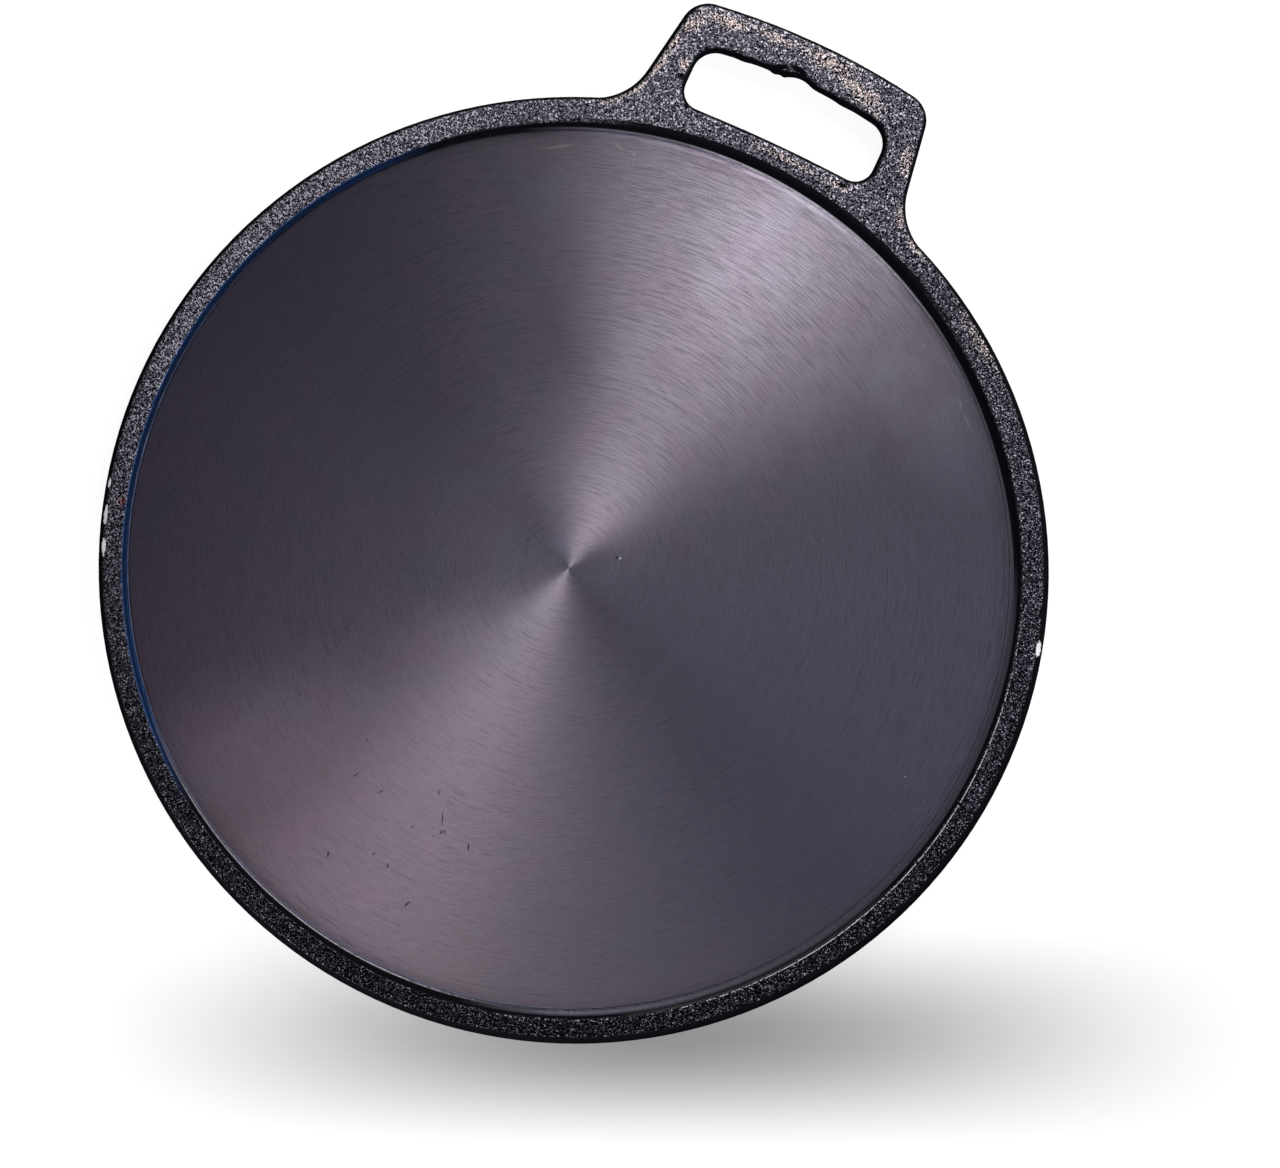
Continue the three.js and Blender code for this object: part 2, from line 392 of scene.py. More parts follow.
PAN_GRAIN, PAN_GRAIN_TWIST = 2400.0, 0.6
LOOP_GRAIN, LOOP_GRAIN_TWIST = 2000.0, 1.0
FINE_GRAIN = 1750.0
OUTLINE_GRAIN = 1100.0
# Painted light: more grey grains towards the upper side.
PAINTED_LIGHT_SIDE = (112, -120, 160)
# Painted shade: the grain darker towards the lower left.
PAINTED_SHADE_SIDE = (228, 50, 140)
PAINTED_SHADE_TONE = 0.62
# Painted sheen: more gleaming grains towards the upper left, besides the worn edges.
PAINTED_SHEEN_SIDE = (138, 104, 140)
PAINTED_SHEEN_SHARE = 0.45
WEAR_AND_SHEEN_GLOSS = 0.17
WORN_SOFTNESS = 0.65
PAINTED_LIGHT_LIFT = (-0.075, 0.035)
RAISED = (0.486, 0.562)
HIGHEST = (0.52, 0.56)
CLEARER = (0.38, 0.60)
GLOSSIEST = (0.575, 0.625)
GAP_BLACK = colour(0.003, 0.003, 0.005)
DULL_GRAIN = colour(0.090, 0.087, 0.112)
CLEAR_GRAIN = colour(0.33, 0.315, 0.38)
GLEAM = colour(0.88, 0.86, 0.95)
WORN_CREAM = colour(1.0, 0.87, 0.80)
WORN_EDGES = [(12.8, 149.0, 9.0, 12, 4, 20), (19.7, 153.1, 9.0, 15, 5.5, 39), (26.6, 160.4, 9.0, 17, 6, 50),
              (31.7, 167.3, 9.0, 15, 5.5, 58), (37.7, 173.0, 9.0, 14, 6.5, 40), (49.0, 173.6, 9.0, 22, 6, -18),
              (63.5, 168.6, 9.0, 22, 4, -22), (80.5, 161.0, 9.0, 25, 7, -27), (91.0, 151.2, 9.0, 24, 8, -37),
              (94.4, 144.0, 9.0, 7, 3.5, -25), (105.4, 129.5, 9.0, 17, 5, 85),
              (103.2, 111.2, 9.0, 13, 3.5, 95), (108.3, 101.8, 9.0, 14, 3.5, -48),
              (66.7, 130.1, 9.0, 32, 3.5, -26), (83.0, 121.6, 9.0, 13, 3.5, -25),
              (35.1, 159.7, 9.0, 7.5, 5.5, 45), (128.0, 72.0, 9.0, 34, 5, -60)]


def sand_grain(tree, place, axes):
    """The height of the sand's grain, which is coarser and more twisted on the loop than on the pan."""
    on_loop = fade(tree, axes["Y"], LOOP_SIDE)
    on_pan = product(tree, noise(tree, place, PAN_GRAIN, 1.0, PAN_GRAIN_TWIST), without(tree, on_loop))
    return wire(tree, "Math", "ADD", on_pan,
                product(tree, noise(tree, place, LOOP_GRAIN, 1.0, LOOP_GRAIN_TWIST), on_loop))


def grain_paint(tree, place, grain, ragged):
    """Grey grains with black gaps. Some grains gleam, and more of them where hands and cloths rub at the edges
    and, as painted sheen, towards the upper left. The grain is painted lighter towards the upper side and
    darker towards the lower left, as painted light and shade.
    """
    fine = noise(tree, place, FINE_GRAIN, 1.0)
    worn = marks(tree, place, ragged, WORN_EDGES, WORN_SOFTNESS)
    painted_sheen = on_side(tree, place, PAINTED_SHEEN_SIDE, 0.0, PAINTED_SHEEN_SHARE)
    painted_light = on_side(tree, place, PAINTED_LIGHT_SIDE)
    depth = wire(tree, "Math", "ADD", grain, span(tree, painted_light, 0.0, 1.0, *PAINTED_LIGHT_LIFT))
    grey = blend(tree, span(tree, fine, *CLEARER), DULL_GRAIN, CLEAR_GRAIN)
    skin = blend(tree, span(tree, depth, *RAISED), GAP_BLACK, grey)
    gloss = wire(tree, "Math", "MULTIPLY_ADD", largest(tree, worn, painted_sheen), WEAR_AND_SHEEN_GLOSS, fine)
    bright = product(tree, span(tree, gloss, *GLOSSIEST), span(tree, depth, *HIGHEST))
    skin = blend(tree, bright, skin, blend(tree, worn, GLEAM, WORN_CREAM))
    return scaled(tree, skin, on_side(tree, place, PAINTED_SHADE_SIDE, 1.0, PAINTED_SHADE_TONE))


# The recess's wall. Its film of oil is black, as on every wall, and the black also stands for painted shade.
# It has a painted blue reflection on one side and painted light on another. The fillet at its foot is bare
# metal on some sides, where the turning tool ran out in it, with a painted highlight towards the loop.
WALL_FILM_AND_SHADE_BLACK = colour(0.006, 0.006, 0.008)
WALL_EDGE = (143.0, 142.6)
# Painted reflection: a blue tint on the recess's wall on the left.
PAINTED_BLUE_REFLECTION = colour(0.016, 0.048, 0.135)
PAINTED_REFLECTION_SIDE = (160, 88, 108)
# Painted light: the recess's wall lighter towards the bottom, where light falls on it.
PAINTED_LIT_WALL = colour(0.055, 0.050, 0.055)
PAINTED_LIT_WALL_SIDE = (295, 133, 139)
FILLET_TONE = colour(0.095, 0.092, 0.115)
FILLET_EDGE = (141.1, 140.5)
FILLET_SIDE = (308, 84, 108)
LEDGE_TONE = colour(0.17, 0.155, 0.17)
LEDGE_EDGE = (140.1, 139.9)
LEDGE_SIDE = (232, 118, 132)
SHINY_TONE = colour(0.12, 0.115, 0.135)
# Painted highlight: the fillet's shine lighter at the recess's edge on the loop's side.
PAINTED_GLINT_TONE = colour(0.50, 0.475, 0.52)
SHINY_EDGE = (0.15, -0.15)
SHINY_SIDE = (32, 60, 84)
PAINTED_GLINT_SIDE = (52, 128, 139)
RUN_OUT_SIDE = (320, 80, 130)
RUN_OUT_RADII = (140.0 * MM, 141.2 * MM)


def wall_paint(tree, place, axes, from_core):
    """The paint of the walls, black also as painted shade, with a painted reflection, painted light and a
    painted highlight on some sides, and a mask of where the walls are metal: bare metal, or the painted
    reflection and light.
    """
    from_turned = distance_from(tree, place, TURNED_CENTRE)
    above_parting = fade(tree, axes["Z"], ABOVE_PARTING)
    low = product(tree, fade(tree, axes["Z"], LOW_WALL), above_parting)
    inner = fade(tree, from_core, WALL_EDGE)
    painted_reflection = product(tree, inner, on_side(tree, place, PAINTED_REFLECTION_SIDE), above_parting)
    painted_lit_wall = product(tree, inner, on_side(tree, place, PAINTED_LIT_WALL_SIDE), above_parting)
    run_out = on_side(tree, place, RUN_OUT_SIDE, *RUN_OUT_RADII)
    shiny = product(tree, fade(tree, wire(tree, "Math", "SUBTRACT", from_turned, run_out), SHINY_EDGE),
                    on_side(tree, place, SHINY_SIDE), low)
    fillet = product(tree, fade(tree, from_core, FILLET_EDGE), on_side(tree, place, FILLET_SIDE), low)
    ledge = product(tree, fade(tree, from_turned, LEDGE_EDGE), on_side(tree, place, LEDGE_SIDE), low)
    shine_and_painted_glint = blend(tree, on_side(tree, place, PAINTED_GLINT_SIDE), SHINY_TONE, PAINTED_GLINT_TONE)
    wall = WALL_FILM_AND_SHADE_BLACK
    for mask, tone in ((painted_reflection, PAINTED_BLUE_REFLECTION), (painted_lit_wall, PAINTED_LIT_WALL), (shiny, shine_and_painted_glint), (fillet, FILLET_TONE),
                       (ledge, LEDGE_TONE)):
        wall = blend(tree, mask, wall, tone)
    return wall, largest(tree, painted_reflection, painted_lit_wall, shiny, fillet, ledge)


BARE_IRON = colour(1.0, 0.95, 0.92)
BARE_RING = (142.5, 0.18, 0.04)
BARE_SIDE = (318, 112, 136)
BARE_END = (318, 50, 80)
BARE_BREAKS = 5.0
BARE_WHERE = (0.45, 0.75)


def bare_edge(tree, place, axes, from_core, ragged):
    """A thin broken line along the recess's upper edge, where the film is worn off."""
    broken = wire(tree, "Math", "ADD", on_side(tree, place, BARE_SIDE),
                  wire(tree, "Math", "MULTIPLY", ragged, BARE_BREAKS))
    return product(tree, span(tree, broken, *BARE_WHERE), thin_ring(tree, from_core, BARE_RING),
                   fade(tree, axes["Z"], TOP_FACE), on_side(tree, place, BARE_END))


# Painted shade: black marks along the loop's hole on the bar's side and in two dents.
PAINTED_SHADE_BLACK = colour(0.004, 0.004, 0.006)
PAINTED_SHADE_MARK_SOFTNESS = 0.4
PAINTED_SHADE_MARKS = [(47.5, 163.2, 9.0, 16, 4.0, -14), (60.0, 158.6, 9.0, 11, 2.0, -20), (65.7, 159.2, 9.0, 7, 2.4, 5),
        (71.3, 158.2, 9.0, 8, 2.6, -32), (80.5, 150.4, 9.0, 15, 1.6, -28), (94.4, 142.6, 9.0, 10, 2.2, -42),
        (33.8, 156.1, 9.0, 3.4, 1.2, -12), (35.8, 148.5, 9.0, 9.0, 1.8, 80), (84.6, 121.6, 9.0, 4.5, 1.2, -22)]
RUST_TINT = (1.5, 0.62, 0.50)
RUST_SOFTNESS = 0.9
RUST_SPOTS = [(-142.4, 20.6, 9.0, 4.5, 3.5, 0)]
CHIP_WHITE = colour(1.0, 1.0, 1.0)
RIM_CHIPS = [(-146.6, 26.4, 8.6, 3.6, 1.0, 82), (-147.8, 16.2, 8.4, 7.2, 1.3, 84),
             (-148.4, 6.4, 8.4, 6.4, 1.4, 88), (146.2, -25.4, 8.4, 5.2, 1.8, 80)]
GRAIN_HEIGHT = 0.10 * MM
WALL_GRAIN = 0.15
SKIN_ROUGHNESS = (0.35, 0.65, 0.60, 0.45)


def seasoned_cast_skin():
    """Black seasoned iron: grey grains with black gaps on the flats, smooth and black on the walls."""
    material, tree = new_material("seasoned_cast_skin")
    place = put(tree, "TexCoord").outputs["Object"]
    axes = put(tree, "SeparateXYZ", {"Vector": place}).outputs
    from_core = distance_from(tree, place, CORE_CENTRE)
    flat = level_faces(tree, place, axes, from_core)
    grain = sand_grain(tree, place, axes)
    ragged = ragged_by(tree, noise(tree, place, OUTLINE_GRAIN, 1.0))
    skin = grain_paint(tree, place, grain, ragged)
    wall, metal_or_painted_wall = wall_paint(tree, place, axes, from_core)

    paint = blend(tree, flat, wall, skin)
    paint = blend(tree, bare_edge(tree, place, axes, from_core, ragged), paint, BARE_IRON)
    rusty = multiplied(tree, paint, RUST_TINT)
    paint = blend(tree, marks(tree, place, ragged, RUST_SPOTS, RUST_SOFTNESS), paint, rusty)
    paint = blend(tree, marks(tree, place, ragged, PAINTED_SHADE_MARKS, PAINTED_SHADE_MARK_SOFTNESS), paint, PAINTED_SHADE_BLACK)
    chips = marks(tree, place, ragged, RIM_CHIPS)
    paint = blend(tree, chips, paint, CHIP_WHITE)

    metal = product(tree, largest(tree, flat, metal_or_painted_wall), without(tree, chips))
    lift = product(tree, grain, span(tree, flat, 0.0, 1.0, WALL_GRAIN, 1.0))
    bump = put(tree, "Bump", {"Height": lift, "Strength": 1.0, "Distance": GRAIN_HEIGHT})
    rough = span(tree, grain, *SKIN_ROUGHNESS)
    shader = put(tree, "BsdfPrincipled", {
        "Base Color": paint, "Metallic": metal, "Roughness": rough, "Specular IOR Level": 0.0,
        "Normal": bump.outputs["Normal"]})
    put(tree, "OutputMaterial", {"Surface": shader.outputs["BSDF"]})
    return material


cast_skin = seasoned_cast_skin()
for skin in (top_skin, underside):
    skin.data.materials.clear()
    skin.data.materials.append(cast_skin)
    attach(skin, "root")
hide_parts("tawa_casting")
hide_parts("tawa_casting")

# The cooking face. The chuck grips the rough rim and a lathe takes the floor down to a flat face, so the
# tool leaves fine rings, a little off the pan's own centre. Use has left a thin, uneven film of oil on it.
RING_STEP = 0.55 * MM
RING_PITCH = 1.6 * MM
RING_DEPTH = 0.012 * MM
SHALLOWEST_RING = 0.4
RING_SEED = 7
FACE_SEGMENTS = 360


def turned_face():
    """A flat disc with the lathe's rings in its upper side, down to the parting line."""
    rng = np.random.default_rng(RING_SEED)
    radii = np.append(np.arange(RING_STEP, TURNED_RADIUS - RING_STEP / 2, RING_STEP), TURNED_RADIUS)
    depth = RING_DEPTH * (SHALLOWEST_RING + (1 - SHALLOWEST_RING) * rng.random(len(radii)))
    heights = PLATE_HEIGHT - depth * (0.5 - 0.5 * np.cos(2 * np.pi * radii / RING_PITCH))
    radii = np.append(radii, TURNED_RADIUS)
    heights = np.append(heights, PARTING_HEIGHT)
    angles = np.linspace(0, 2 * np.pi, FACE_SEGMENTS, endpoint=False)
    rings = np.stack([np.outer(radii, np.cos(angles)) + TURNED_CENTRE.x,
                      np.outer(radii, np.sin(angles)) + TURNED_CENTRE.y,
                      np.repeat(heights[:, None], FACE_SEGMENTS, 1)], -1).reshape(-1, 3)
    centres = [(TURNED_CENTRE.x, TURNED_CENTRE.y, PLATE_HEIGHT),
               (TURNED_CENTRE.x, TURNED_CENTRE.y, PARTING_HEIGHT)]
    points = np.vstack([rings, centres])
    apex, base = len(rings), len(rings) + 1
    this = np.arange(FACE_SEGMENTS)
    after = (this + 1) % FACE_SEGMENTS
    faces = [(apex, a, b) for a, b in zip(this.tolist(), after.tolist())]
    for ring in range(len(radii) - 1):
        low, high = ring * FACE_SEGMENTS, (ring + 1) * FACE_SEGMENTS
        faces += np.stack([low + this, high + this, high + after, low + after], 1).tolist()
    last = (len(radii) - 1) * FACE_SEGMENTS
    faces += [(base, last + b, last + a) for a, b in zip(this.tolist(), after.tolist())]
    mesh = bpy.data.meshes.new("cooking_face")
    mesh.from_pydata(points.tolist(), [], faces)
    mesh.polygons.foreach_set("use_smooth", [True] * len(mesh.polygons))
    return mesh


DASHES_ALONG, DASHES_OUTWARD = 170.0, 3400.0
RING_SCALE, RING_SHARE = 900.0, 0.4
GRIT_SCALE, GRIT_SHARE = 2700.0, 0.8
TOOL_MARK_HEIGHT = 0.03 * MM


def tool_marks(tree, out, radius, grit):
    """The height of the lathe's marks: rings, broken into dashes, and grit."""
    rise = put(tree, "CombineXYZ", {"Z": wire(tree, "Math", "MULTIPLY", radius, DASHES_OUTWARD)})
    dash_place = wire(tree, "VectorMath", "ADD", multiplied(tree, out, (DASHES_ALONG,) * 3),
                      rise.outputs["Vector"])
    dashes = noise(tree, dash_place, 1.0, 1.0)
    rings = put(tree, "TexNoise", {"W": radius, "Scale": RING_SCALE, "Detail": 2.0},
                noise_dimensions="1D").outputs["Fac"]
    marked = wire(tree, "Math", "ADD", wire(tree, "Math", "MULTIPLY", rings, RING_SHARE), dashes)
    return wire(tree, "Math", "ADD", marked, wire(tree, "Math", "MULTIPLY", grit, GRIT_SHARE))


# The film's tints, each with the side on which it fades in. The last one is on the brown side's far side. The
# face is also painted darker towards its left edge, as painted shade.
PATINA_SCALE = 70.0
PATINA_RANGE = (0.35, 0.65)
PATINA_COOL = colour(0.200, 0.182, 0.216)
PATINA_WARM = colour(0.214, 0.181, 0.220)
LEFT_SHADE = colour(0.68, 0.66, 0.80)
CLEAR = colour(1.0, 1.0, 1.0)
LEFT_SIDE = (0, -140, -30)
FILM_TINTS = [((300, -20, 110), colour(0.90, 0.96, 1.08)), ((238, 0, 130), colour(1.04, 0.94, 0.82)),
              ((238, 0, -120), colour(0.97, 1.0, 0.99))]


def film_and_shade_colour(tree, place, patina):
    """The face's colour: bare iron under a thin film, which turns brown or slate by side, and painted shade
    that darkens it towards the left.
    """
    film = blend(tree, on_side(tree, place, LEFT_SIDE), LEFT_SHADE, CLEAR)
    for side, tint in FILM_TINTS:
        film = multiplied(tree, film, blend(tree, on_side(tree, place, side), CLEAR, tint))
    warm = blend(tree, span(tree, patina, *PATINA_RANGE), PATINA_COOL, PATINA_WARM)
    return multiplied(tree, film, warm)


# Each gain is the range of a height, a radius or a side, and then how light the face is at its two ends. The
# radius gain is painted light, lighter in the middle, and so is the gain by the wall near the loop, which
# makes up for the key lamp's shadow there.
RING_GAIN = (0.9, 1.3, 0.79, 1.21)
# Painted light: the face lighter in the middle.
PAINTED_MIDDLE_LIGHT = (10 * MM, 139 * MM, 1.22, 0.90)
UPWARD_SIDE, UPWARD_GAIN = (90, -140, 140), (1.2, 0.83)
# Painted light: the face lighter by the wall near the loop, where the key lamp's shadow falls.
PAINTED_EDGE_LIGHT_RING = (136.2, 139.4)
PAINTED_EDGE_LIGHT_SIDE = (66, 122, 135)
PAINTED_EDGE_LIGHT_GAIN = 4.3
UNEVEN_GAIN, UNEVEN_SHIFT = 0.5, -0.25
# Broad patches painted lighter or darker, as painted sheen and shade: x, y, z, length, width and slant, and
# how light each one is.
PAINTED_SHEEN_PATCHES = [((-8.3, 23.9, 4.8, 88, 88, 0), 1.35), ((66.0, 110.0, 4.8, 165, 165, 0), 1.85),
                ((4.9, 4.4, 4.8, 18, 14, 30), 0.74), ((-4.9, 7.8, 4.8, 16, 12, 112), 1.25),
                ((-107.0, -53.2, 4.8, 96, 48, 27), 1.45), ((116.8, 48.4, 4.8, 66, 46, 112), 1.45),
                ((57.1, 102.6, 4.8, 90, 38, 60), 1.24), ((-4.5, 75.4, 4.8, 100, 38, 92), 0.76),
                ((-37.9, -16.6, 4.8, 54, 26, 27), 1.25)]
PATCH_SOFTNESS = 1.0


def painted_light_and_film_gain(tree, place, out, radius, cut_height, patina):
    """How light each spot is: painted light in the middle and by the wall near the loop, painted sheen and
    shade in broad patches, lighter on the side at 270 degrees than at 90 degrees, and uneven with the tool
    marks and the film.
    """
    painted_edge_light = product(tree, wire(tree, "Math", "POWER", fade(tree, radius, PAINTED_EDGE_LIGHT_RING), 2.0),
                        on_side(tree, out, PAINTED_EDGE_LIGHT_SIDE))
    gain = product(tree, span(tree, cut_height, *RING_GAIN), span(tree, radius, *PAINTED_MIDDLE_LIGHT),
                   on_side(tree, place, UPWARD_SIDE, *UPWARD_GAIN),
                   span(tree, painted_edge_light, 0.0, 1.0, 1.0, PAINTED_EDGE_LIGHT_GAIN))
    uneven = wire(tree, "Math", "MULTIPLY_ADD", patina, UNEVEN_GAIN, UNEVEN_SHIFT)
    for patch, patch_gain in PAINTED_SHEEN_PATCHES:
        haze = marks(tree, place, uneven, [patch], PATCH_SOFTNESS)
        gain = product(tree, gain, span(tree, haze, 0.0, 1.0, 1.0, patch_gain))
    return gain


# Lines near the face's edge, where the tool's last cut ends: a pale line along the step's edge that is a
# painted highlight, and two dark lines beside it that are painted shade. Each has the ring, the side that it
# shows on and its colour.
EDGE_HIGHLIGHT_AND_SHADE_LINES = [((139.05, 0.30, 0.14), (205, 40, 110), colour(0.55, 0.62, 0.86)),
              ((138.60, 0.26, 0.12), (170, 108, 128), colour(0.05, 0.05, 0.065)),
              ((139.36, 0.20, 0.10), (205, 112, 126), colour(0.04, 0.035, 0.04))]
RUST_STREAKS = [(-4.6, 134.1, 4.8, 12.5, 1.1, 8), (14.3, 134.2, 4.8, 5.0, 1.5, -38),
                (115.0, 68.2, 4.8, 3.4, 1.3, -14), (116.8, 66.6, 4.8, 1.8, 1.1, -70)]
PALE_STREAKS = [(19.2, 131.7, 4.8, 1.4, 1.1, 0), (110.6, 71.2, 4.8, 1.6, 1.1, 0),
                (122.2, 52.6, 4.8, 5.5, 0.9, -78), (123.9, 47.6, 4.8, 6.5, 0.9, -66)]
SCRATCHES = [(-77.8, -90.4, 4.8, 2.4, 0.65, 72), (-53.0, -106.0, 4.8, 2.8, 0.65, 40),
             (-33.6, -88.0, 4.8, 2.6, 0.55, 88), (-42.2, -83.3, 4.8, 1.6, 0.55, 80),
             (-41.2, -83.3, 4.8, 1.6, 0.55, 88), (-41.8, -79.0, 4.8, 4.6, 0.45, 88),
             (-42.9, -70.9, 4.8, 1.6, 0.55, 84), (-69.0, -65.3, 4.8, 2.6, 0.55, 30),
             (-65.6, -54.3, 4.8, 1.5, 0.5, 88), (-61.0, -70.5, 4.8, 2.4, 0.5, 30),
             (-59.0, -93.9, 4.8, 1.9, 0.55, 70), (-63.4, -90.2, 4.8, 1.5, 0.5, 40),
             (-51.3, -81.7, 4.8, 1.3, 0.5, 30), (13.3, 3.6, 4.8, 0.9, 0.9, 0)]
BRIGHT_SPECKS = [(14.5, 3.4, 4.8, 0.8, 0.9, 90), (104.2, -65.6, 4.8, 0.6, 0.6, 0)]
# Each kind of mark on the face, with how soft its outline is and its colour.
FACE_MARKS = [(RUST_STREAKS, RUST_SOFTNESS, colour(0.32, 0.27, 0.27)),
              (PALE_STREAKS, RUST_SOFTNESS, colour(0.36, 0.34, 0.37)),
              (SCRATCHES, MARK_SOFTNESS, colour(0.02, 0.018, 0.022)),
              (BRIGHT_SPECKS, MARK_SOFTNESS, colour(1.0, 1.0, 1.0))]
FACE_ROUGHNESS = (0.95, 1.25, 0.66, 0.38)
STRETCHED_SHINE = 0.78
QUARTER_TURN = 0.25


def turned_iron():
    """Turned iron. It shines along the rings' radii, so the light draws two fans across the face."""
    material, tree = new_material("turned_iron")
    place = put(tree, "TexCoord").outputs["Object"]
    out = multiplied(tree, wire(tree, "VectorMath", "SUBTRACT", place, TURNED_CENTRE), (1, 1, 0))
    radius = wire(tree, "VectorMath", "LENGTH", out)
    grit = noise(tree, place, GRIT_SCALE, 1.0)
    patina = noise(tree, place, PATINA_SCALE, 2.0)
    cut_height = tool_marks(tree, out, radius, grit)

    base = scaled(tree, film_and_shade_colour(tree, place, patina), painted_light_and_film_gain(tree, place, out, radius, cut_height, patina))
    base = wire(tree, "VectorMath", "MINIMUM", base, (1.0, 1.0, 1.0))
    # Painted highlight and painted shade lines at the face's edge.
    for ring, side, tone in EDGE_HIGHLIGHT_AND_SHADE_LINES:
        base = blend(tree, product(tree, thin_ring(tree, radius, ring), on_side(tree, out, side)), base, tone)
    ragged = ragged_by(tree, grit)
    for places, softness, tone in FACE_MARKS:
        base = blend(tree, marks(tree, place, ragged, places, softness), base, tone)

    bump = put(tree, "Bump", {"Height": cut_height, "Strength": 1.0, "Distance": TOOL_MARK_HEIGHT})
    rough = span(tree, cut_height, *FACE_ROUGHNESS)
    tangent = put(tree, "Tangent", direction_type="RADIAL", axis="Z")
    shader = put(tree, "BsdfPrincipled", {
        "Base Color": base, "Metallic": 1.0, "Roughness": rough, "Anisotropic": STRETCHED_SHINE,
        "Anisotropic Rotation": QUARTER_TURN, "Tangent": tangent.outputs["Tangent"],
        "Normal": bump.outputs["Normal"]})
    put(tree, "OutputMaterial", {"Surface": shader.outputs["BSDF"]})
    return material


face = show("cooking_face", turned_face())
face.data.materials.append(turned_iron())
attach(face, "root")
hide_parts("tawa_casting")

# The camera looks almost straight down, 5 m above the tawa, and leans a little away from the loop. A long
# lens keeps the round pan round.
CAMERA_TILT = math.radians(6.5)
CAMERA_LEAN = 240
CAMERA_DISTANCE = 5.0
CAMERA_SHIFT = (20.64 * MM, -4.76 * MM)
CAMERA_AIM_HEIGHT = 4.6 * MM
CAMERA_LENS = 446.2
SENSOR_WIDTH = 36.0
FARTHEST_SEEN = 100.0
UP = Vector((0, 0, 1))

image_right = Vector((math.cos(PHOTO_TURN), math.sin(PHOTO_TURN), 0))
image_up = Vector((-math.sin(PHOTO_TURN), math.cos(PHOTO_TURN), 0))


def sideways(degrees):
    """The level direction that the picture shows at that angle, from right towards up."""
    return image_right * math.cos(math.radians(degrees)) + image_up * math.sin(math.radians(degrees))


lean = sideways(CAMERA_LEAN)
back = UP * math.cos(CAMERA_TILT) + lean * math.sin(CAMERA_TILT)
share = image_right.dot(lean)
right = image_right - lean * share + (lean * math.cos(CAMERA_TILT) - UP * math.sin(CAMERA_TILT)) * share
upward = back.cross(right)

lens = bpy.data.cameras.new("camera")
lens.lens, lens.sensor_width, lens.clip_end = CAMERA_LENS, SENSOR_WIDTH, FARTHEST_SEEN
camera = bpy.data.objects.new("camera", lens)
bpy.context.scene.collection.objects.link(camera)
aim = UP * CAMERA_AIM_HEIGHT + right * CAMERA_SHIFT[0] + upward * CAMERA_SHIFT[1]
turned = Matrix((right, upward, back)).transposed().to_4x4()
camera.matrix_world = Matrix.Translation(aim + back * CAMERA_DISTANCE) @ turned
bpy.context.scene.camera = camera

# The table and backdrop: one sweep of white paper, flat under the tawa and curved up far behind it. It lies
# a hair below the tawa's underside.
SWEEP = [(0, 0), (0.6, 0), (1.2, 0), (3, 0), (7, 0), (10, 0), (11.2, 0.25), (11.9, 0.9), (12.1, 3.0)]
SWEEP_STEPS = 96
SWEEP_WELD = 0.1 * MM
SWEEP_DROP = 0.05 * MM


def sweep_mesh():
    made = bmesh.new()
    profile = [made.verts.new((radius, 0, height)) for radius, height in SWEEP]
    edges = [made.edges.new(pair) for pair in zip(profile, profile[1:])]
    bmesh.ops.spin(made, geom=profile + edges, cent=(0, 0, 0), axis=(0, 0, 1), angle=2 * math.pi,
                   steps=SWEEP_STEPS, use_merge=True)
    bmesh.ops.remove_doubles(made, verts=made.verts, dist=SWEEP_WELD)
    bmesh.ops.recalc_face_normals(made, faces=made.faces)
    mesh = bpy.data.meshes.new("white_sweep")
    made.to_mesh(mesh)
    return mesh


# The shade lies below the tawa as the picture shows it: its middle and reach, from right and from up.
SHADE_CENTRE = (27.6 * MM, -146.9 * MM)
SHADE_REACH = (214 * MM, 41 * MM)
SHADE_DEPTH = 0.715
PAPER_TONE = 0.15
NEAR_GLOW = 0.93
GLOW_BAND = (0.35, 1.0)


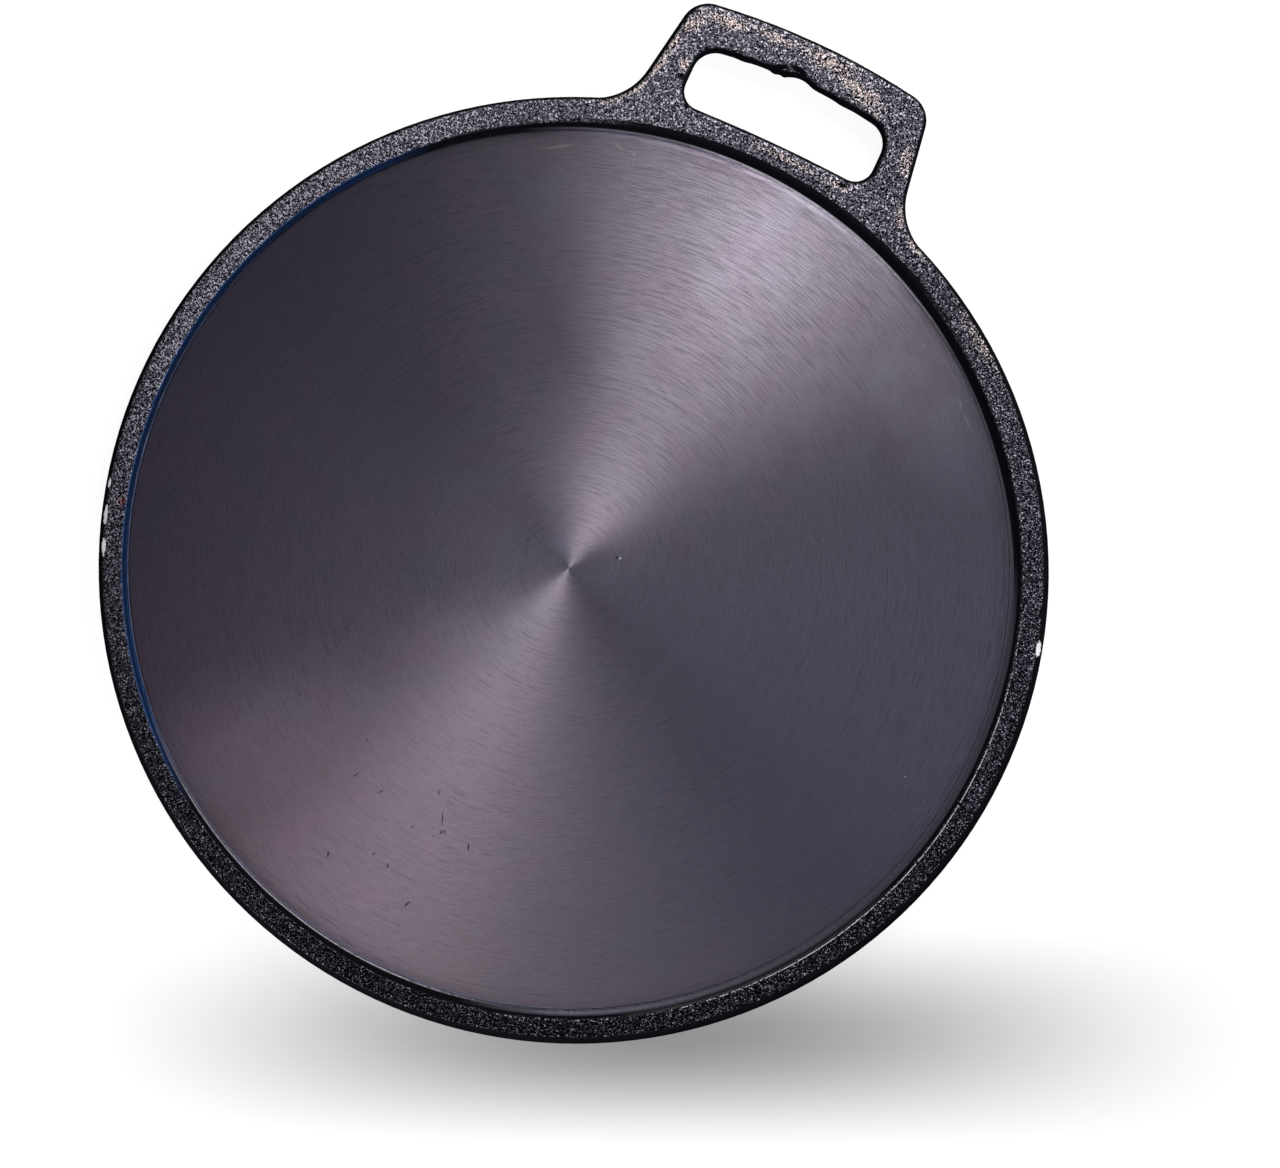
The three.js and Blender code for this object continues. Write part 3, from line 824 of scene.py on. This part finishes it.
def sweep_material():
    """White paper. It glows a little by itself, so that it is white to the eye, and it has a soft shade."""
    material, tree = new_material("white_paper")
    place = put(tree, "TexCoord").outputs["Object"]
    falls = []
    for axis, middle, reach in zip((image_right, image_up), SHADE_CENTRE, SHADE_REACH):
        along = wire(tree, "VectorMath", "DOT_PRODUCT", place, axis)
        along = wire(tree, "Math", "DIVIDE", wire(tree, "Math", "SUBTRACT", along, middle), reach)
        fall = wire(tree, "Math", "SUBTRACT", 1.0, wire(tree, "Math", "MULTIPLY", along, along))
        falls.append(wire(tree, "Math", "POWER", wire(tree, "Math", "MAXIMUM", fall, 0.0), 2.0))
    light_left = wire(tree, "Math", "SUBTRACT", 1.0, product(tree, *falls, SHADE_DEPTH))
    tone = put(tree, "CombineColor", {"Red": light_left, "Green": light_left, "Blue": light_left})
    paint = put(tree, "BsdfDiffuse", {"Color": scaled(tree, tone.outputs["Color"], PAPER_TONE)})
    far = wire(tree, "VectorMath", "LENGTH", place)
    lift = product(tree, light_left, span(tree, far, *GLOW_BAND, NEAR_GLOW, 1.0))
    path = put(tree, "LightPath").outputs
    seen = largest(tree, path["Is Camera Ray"], path["Is Glossy Ray"], path["Is Transmission Ray"])
    light = put(tree, "Emission", {"Color": CLEAR, "Strength": product(tree, seen, lift)})
    both = tree.nodes.new("ShaderNodeAddShader")
    tree.links.new(paint.outputs["BSDF"], both.inputs[0])
    tree.links.new(light.outputs["Emission"], both.inputs[1])
    put(tree, "OutputMaterial", {"Surface": both.outputs["Shader"]})
    return material


sweep = show("white_sweep", sweep_mesh())
sweep.data.materials.append(sweep_material())
sweep.location.z = -SWEEP_DROP

# Studio light: a key lamp beyond the loop, a weaker one opposite it, three weak ones on the right and below,
# and a dim ceiling. Each lamp has its angle in the picture, elevation, distance, width, watts and tint.
LAMPS = [("key_lamp", 62, 37, 0.75, 0.42, 3.7, (1.0, 0.96, 0.96)),
         ("low_lamp", 236, 24, 0.50, 0.30, 1.4, (1.0, 0.96, 1.0)),
         ("right_lamp", 23, 30, 0.60, 0.45, 0.40, (0.98, 1.0, 1.05)),
         ("side_lamp", 347, 37, 0.75, 0.60, 0.95, (0.95, 1.0, 1.10)),
         ("foot_lamp", 285, 37, 0.75, 0.50, 0.72, (0.95, 1.0, 1.12))]
CEILING_TINT = colour(0.9, 0.94, 1.2)
CEILING_GLOW = 0.10

for name, azimuth, elevation, distance, width, watts, tint in LAMPS:
    lamp = bpy.data.lights.new(name, "AREA")
    lamp.shape, lamp.size, lamp.energy, lamp.color = "DISK", width, watts, tint
    lamp_object = bpy.data.objects.new(name, lamp)
    bpy.context.scene.collection.objects.link(lamp_object)
    rise = math.radians(elevation)
    away = sideways(azimuth) * math.cos(rise) + UP * math.sin(rise)
    lamp_object.location = away * distance
    lamp_object.rotation_mode = "QUATERNION"
    lamp_object.rotation_quaternion = away.to_track_quat("Z", "Y")

world = bpy.data.worlds.new("studio")
bpy.context.scene.world = world
world.use_nodes = True
world.node_tree.nodes.clear()
ceiling = put(world.node_tree, "Background", {"Color": CEILING_TINT, "Strength": CEILING_GLOW})
put(world.node_tree, "OutputWorld", {"Surface": ceiling.outputs["Background"]})

bpy.context.scene.view_settings.view_transform = "Standard"
